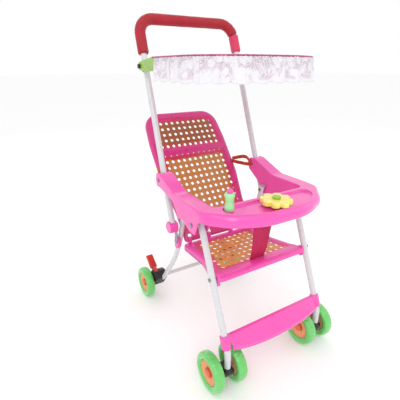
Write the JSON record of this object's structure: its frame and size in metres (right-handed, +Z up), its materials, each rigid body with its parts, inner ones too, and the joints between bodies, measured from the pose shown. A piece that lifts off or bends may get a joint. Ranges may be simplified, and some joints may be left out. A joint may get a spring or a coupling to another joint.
{
  "type": "folding pushchair",
  "caption": "Light folding pushchair with a high U handle, lace-trimmed canopy, perforated reclining seat, play tray, footrest, twin swivel casters and braked rear wheels.",
  "frame": {"origin": "on the ground under the middle of the whole object", "axes": "+Z up, -Y the way the rider faces, +X the pusher's left"},
  "size_m": [0.443, 0.6171, 0.9795],
  "materials": {
    "tube_paint": "semi-gloss white",
    "pink_plastic": "glossy moulded",
    "back_plastic": "glossy moulded, sprayed",
    "foam_red": "matte foam",
    "foam_pink": "matte foam",
    "tyre_green": "translucent, pebbled",
    "hub_peach": "satin moulded",
    "black_plastic": "matte",
    "lever_red": "glossy",
    "clamp_green": "glossy",
    "steel": "zinc plated",
    "canopy_cloth": "printed nonwoven",
    "lace_white": "open lace",
    "webbing_red": "woven webbing",
    "webbing_crimson": "woven webbing",
    "toy_yellow": "glossy",
    "toy_green": "glossy"
  },
  "bodies": {
    "front_frame": {"footrest": "pink_plastic", "front_leg_right": "tube_paint", "front_leg_left": "tube_paint", "seat_pivot_rivets": "steel", "armrest_pivot_rivets": "steel"},
    "armrest": {"armrest_tray": "pink_plastic", "handle_pivot_rivets": "steel", "rear_leg_rivets": "steel", "play_wheel_post": "clamp_green", "play_roller_post": "pink_plastic", "recline_straps": "webbing_red", "crotch_strap": "webbing_crimson"},
    "play_wheel": {"play_wheel": "toy_yellow"},
    "play_roller": {"play_roller": "toy_green"},
    "rear_frame": {"rear_leg_right": "tube_paint", "rear_leg_left": "tube_paint", "rear_crossbar": "tube_paint", "rear_housing_right": "black_plastic", "rear_housing_left": "black_plastic", "rear_axle_right": "steel", "rear_axle_left": "steel", "lock_catch_right": "pink_plastic", "lock_catch_left": "pink_plastic"},
    "handle": {"handle_tube": "tube_paint", "foam_grip": "foam_red", "foam_grip_end": "foam_pink", "lock_body_right": "pink_plastic", "lock_body_left": "pink_plastic", "canopy_clamp_right": "clamp_green", "canopy_clamp_left": "clamp_green"},
    "canopy": {"canopy_arm_right": "clamp_green", "canopy_arm_left": "clamp_green", "canopy_knob_right": "black_plastic", "canopy_knob_left": "black_plastic", "canopy_rim": "tube_paint", "canopy_fabric": "canopy_cloth", "canopy_frill": "lace_white"},
    "seat": {"seat_shell": "pink_plastic"},
    "backrest_hinge": {"backrest_hinge_rod": "steel"},
    "backrest": {"backrest_shell": "back_plastic"},
    "caster_right": {"caster_body_right": "black_plastic", "caster_axle_right": "steel"},
    "caster_wheel_inner_right": {"caster_tyre_inner_right": "tyre_green", "caster_hub_inner_right": "hub_peach"},
    "caster_wheel_outer_right": {"caster_tyre_outer_right": "tyre_green", "caster_hub_outer_right": "hub_peach"},
    "rear_wheel_right": {"rear_tyre_right": "tyre_green", "rear_hub_right": "hub_peach"},
    "brake_lever_right": {"brake_lever_right": "lever_red"},
    "lock_latch_right": {"lock_latch_right": "steel"},
    "caster_left": {"caster_body_left": "black_plastic", "caster_axle_left": "steel"},
    "caster_wheel_inner_left": {"caster_tyre_inner_left": "tyre_green", "caster_hub_inner_left": "hub_peach"},
    "caster_wheel_outer_left": {"caster_tyre_outer_left": "tyre_green", "caster_hub_outer_left": "hub_peach"},
    "rear_wheel_left": {"rear_tyre_left": "tyre_green", "rear_hub_left": "hub_peach"},
    "brake_lever_left": {"brake_lever_left": "lever_red"},
    "lock_latch_left": {"lock_latch_left": "steel"}
  },
  "joints": [
    {"name": "frame_fold", "type": "hinge", "parent": "front_frame", "child": "armrest", "pos_m": [0, -0.13785, 0.45], "axis": [1, 0, 0], "range_deg": [0, 38], "deforming": ["crotch_strap"]},
    {"name": "rear_leg_pivot", "type": "hinge", "parent": "armrest", "child": "rear_frame", "pos_m": [0, -0.00785, 0.445], "axis": [1, 0, 0], "range_deg": [-78.5, 0]},
    {"name": "handle_pivot", "type": "hinge", "parent": "armrest", "child": "handle", "pos_m": [0, 0.06115, 0.516], "axis": [1, 0, 0], "range_deg": [-38.5, 0]},
    {"name": "seat_pivot", "type": "hinge", "parent": "front_frame", "child": "seat", "pos_m": [0, -0.19755, 0.31], "axis": [1, 0, 0], "range_deg": [0, 38.5]},
    {"name": "backrest_follow", "type": "hinge", "parent": "seat", "child": "backrest_hinge", "pos_m": [0, 0.02061, 0.31512], "axis": [1, 0, 0], "range_deg": [-23.65, 0]},
    {"name": "backrest_recline", "type": "hinge", "parent": "backrest_hinge", "child": "backrest", "pos_m": [0, 0.02061, 0.31512], "axis": [1, 0, 0], "range_deg": [0, 20]},
    {"name": "canopy_tilt", "type": "hinge", "parent": "handle", "child": "canopy", "pos_m": [0, 0.17015, 0.832], "axis": [1, 0, 0], "range_deg": [-60, 12]},
    {"name": "caster_swivel_right", "type": "hinge", "parent": "front_frame", "child": "caster_right", "pos_m": [-0.17, -0.27785, 0.094], "axis": [0, 0, 1], "continuous": true},
    {"name": "caster_wheel_inner_right_spin", "type": "hinge", "parent": "caster_right", "child": "caster_wheel_inner_right", "pos_m": [-0.1335, -0.25185, 0.0567], "axis": [1, 0, 0], "continuous": true},
    {"name": "caster_wheel_outer_right_spin", "type": "hinge", "parent": "caster_right", "child": "caster_wheel_outer_right", "pos_m": [-0.2065, -0.25185, 0.0567], "axis": [1, 0, 0], "continuous": true},
    {"name": "rear_wheel_right_spin", "type": "hinge", "parent": "rear_frame", "child": "rear_wheel_right", "pos_m": [-0.198, 0.22515, 0.0567], "axis": [1, 0, 0], "continuous": true},
    {"name": "brake_lever_right_press", "type": "hinge", "parent": "rear_frame", "child": "brake_lever_right", "pos_m": [-0.166, 0.19815, 0.101], "axis": [1, 0, 0], "range_deg": [-14, 0]},
    {"name": "lock_latch_right_release", "type": "hinge", "parent": "handle", "child": "lock_latch_right", "pos_m": [-0.165, 0.02855, 0.374], "axis": [1, 0, 0], "range_deg": [0, 25], "stiffness_Nm_per_rad": 0.03, "springref_deg": -28.65},
    {"name": "caster_swivel_left", "type": "hinge", "parent": "front_frame", "child": "caster_left", "pos_m": [0.17, -0.27785, 0.094], "axis": [0, 0, 1], "continuous": true},
    {"name": "caster_wheel_inner_left_spin", "type": "hinge", "parent": "caster_left", "child": "caster_wheel_inner_left", "pos_m": [0.1335, -0.25185, 0.0567], "axis": [1, 0, 0], "continuous": true},
    {"name": "caster_wheel_outer_left_spin", "type": "hinge", "parent": "caster_left", "child": "caster_wheel_outer_left", "pos_m": [0.2065, -0.25185, 0.0567], "axis": [1, 0, 0], "continuous": true},
    {"name": "rear_wheel_left_spin", "type": "hinge", "parent": "rear_frame", "child": "rear_wheel_left", "pos_m": [0.198, 0.22515, 0.0567], "axis": [1, 0, 0], "continuous": true},
    {"name": "brake_lever_left_press", "type": "hinge", "parent": "rear_frame", "child": "brake_lever_left", "pos_m": [0.166, 0.19815, 0.101], "axis": [1, 0, 0], "range_deg": [-14, 0]},
    {"name": "lock_latch_left_release", "type": "hinge", "parent": "handle", "child": "lock_latch_left", "pos_m": [0.165, 0.02855, 0.374], "axis": [1, 0, 0], "range_deg": [0, 25], "stiffness_Nm_per_rad": 0.03, "springref_deg": -28.65},
    {"name": "play_wheel_spin", "type": "hinge", "parent": "armrest", "child": "play_wheel", "pos_m": [0, -0.23185, 0.505], "axis": [0, 0, 1], "continuous": true},
    {"name": "play_roller_spin", "type": "hinge", "parent": "armrest", "child": "play_roller", "pos_m": [-0.128, -0.20385, 0.52], "axis": [0, 0, 1], "continuous": true}
  ],
  "couplings": [
    {"joint": "rear_leg_pivot", "follows": "frame_fold", "ratio": -2.0526},
    {"joint": "handle_pivot", "follows": "frame_fold", "ratio": -1},
    {"joint": "seat_pivot", "follows": "frame_fold", "ratio": 1},
    {"joint": "backrest_follow", "follows": "frame_fold", "ratio": -0.62105}
  ]
}
